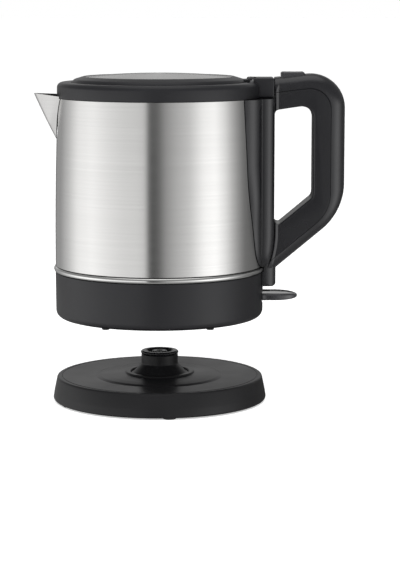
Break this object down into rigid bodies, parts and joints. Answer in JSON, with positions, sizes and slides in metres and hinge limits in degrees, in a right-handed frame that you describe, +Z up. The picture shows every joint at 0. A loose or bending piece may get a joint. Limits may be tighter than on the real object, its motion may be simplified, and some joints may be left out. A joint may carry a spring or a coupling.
{
  "type": "electric kettle",
  "caption": "Cordless electric kettle: brushed steel body with hinged lid, side handle, water gauge and foot switch, shown lifted above its round power base.",
  "frame": {"origin": "on the vertical axis of the kettle and its base, on the surface that the base's feet stand on; the pad in the middle of the base's underside is the checked face, 0.9 mm above it", "axes": "+Z up, +X towards the handle, +Y towards the back of the base, where the cord leaves"},
  "size_m": [0.2401, 0.1676, 0.2539],
  "materials": {
    "black_plastic": "moulded, satin",
    "inner_plastic": "moulded, plain",
    "gloss_plastic": "polished",
    "grey_plastic": "moulded, plain",
    "brushed_steel": "brushed round the body",
    "polished_steel": "polished",
    "rubber": "plain",
    "screw_steel": "plated",
    "spreader_aluminium": "rolled",
    "contact_brass": "plain",
    "window": "clear, moulded"
  },
  "bodies": {
    "power_base": {"base_cover": "black_plastic", "base_floor": "inner_plastic", "base_foot_1": "rubber", "base_foot_2": "rubber", "base_foot_3": "rubber", "base_foot_4": "rubber", "base_foot_5": "rubber", "base_screw_1": "screw_steel", "base_screw_2": "screw_steel", "base_screw_3": "screw_steel", "connector_housing": "black_plastic", "connector_core": "inner_plastic", "connector_cap": "black_plastic", "contact_sleeve": "contact_brass", "contact_ring_inner": "contact_brass", "contact_ring_outer": "contact_brass", "cord_bush": "rubber"},
    "kettle_connector": {"socket_housing": "black_plastic", "socket_pin": "contact_brass", "socket_ring": "contact_brass"},
    "kettle": {"steel_body": "brushed_steel", "trim_ring": "polished_steel", "base_band": "black_plastic", "bottom_cover": "inner_plastic", "kettle_foot_1": "rubber", "kettle_foot_2": "rubber", "kettle_foot_3": "rubber", "kettle_foot_4": "rubber", "cover_screw_1": "screw_steel", "cover_screw_2": "screw_steel", "cover_screw_3": "screw_steel", "heater_plate": "brushed_steel", "plate_gasket": "rubber", "heat_spreader": "spreader_aluminium", "heating_element": "screw_steel", "thermostat_control": "inner_plastic", "bimetal_disc_1": "contact_brass", "bimetal_disc_2": "contact_brass", "steam_bimetal": "contact_brass", "spout": "brushed_steel", "collar": "black_plastic", "lid_hinge_pin": "screw_steel", "saddle": "black_plastic", "gauge_window": "window", "handle_inner": "black_plastic", "handle_outer": "black_plastic", "handle_screw_1": "screw_steel", "handle_screw_2": "screw_steel", "steam_tube": "grey_plastic", "button_spring": "screw_steel", "switch_pin": "screw_steel"},
    "spout_filter": {"filter_frame": "inner_plastic", "filter_mesh": "polished_steel"},
    "lid": {"lid_cover": "brushed_steel", "lid_liner": "grey_plastic", "lid_seal": "rubber"},
    "lid_button": {"lid_button": "gloss_plastic"},
    "lid_catch": {"lid_catch": "grey_plastic"},
    "switch_lever": {"switch_lever": "gloss_plastic"},
    "trip_rocker": {"trip_rocker": "grey_plastic"}
  },
  "joints": [
    {"name": "kettle_lift", "type": "slide", "parent": "power_base", "child": "kettle_connector", "axis": [0, 0, 1], "range_m": [-0.04465, 0.1]},
    {"name": "kettle_turn", "type": "hinge", "parent": "kettle_connector", "child": "kettle", "pos_m": [0, 0, 0.066], "axis": [0, 0, 1], "continuous": true},
    {"name": "lid_hinge", "type": "hinge", "parent": "kettle", "child": "lid", "pos_m": [0.0705, 0, 0.2465], "axis": [0, 1, 0], "range_deg": [0, 80]},
    {"name": "lid_button_press", "type": "slide", "parent": "kettle", "child": "lid_button", "axis": [0, 0, -1], "range_m": [0, 0.0035], "stiffness_N_per_m": 400, "springref_m": -0.002, "deforming": ["button_spring"]},
    {"name": "lid_catch_slide", "type": "slide", "parent": "kettle", "child": "lid_catch", "axis": [1, 0, 0], "range_m": [0, 0.003]},
    {"name": "switch_lever_hinge", "type": "hinge", "parent": "kettle", "child": "switch_lever", "pos_m": [0.066, 0, 0.0815], "axis": [0, 1, 0], "range_deg": [0, 9]},
    {"name": "trip_rocker_hinge", "type": "hinge", "parent": "kettle", "child": "trip_rocker", "pos_m": [0.05, 0, 0.081], "axis": [0, 1, 0], "range_deg": [-4.5, 0]},
    {"name": "spout_filter_slide", "type": "slide", "parent": "kettle", "child": "spout_filter", "axis": [1, 0, 0], "range_m": [0, 0.02]}
  ],
  "couplings": [
    {"joint": "lid_catch_slide", "follows": "lid_button_press", "ratio": 0.857},
    {"joint": "trip_rocker_hinge", "follows": "switch_lever_hinge", "ratio": -0.5}
  ]
}
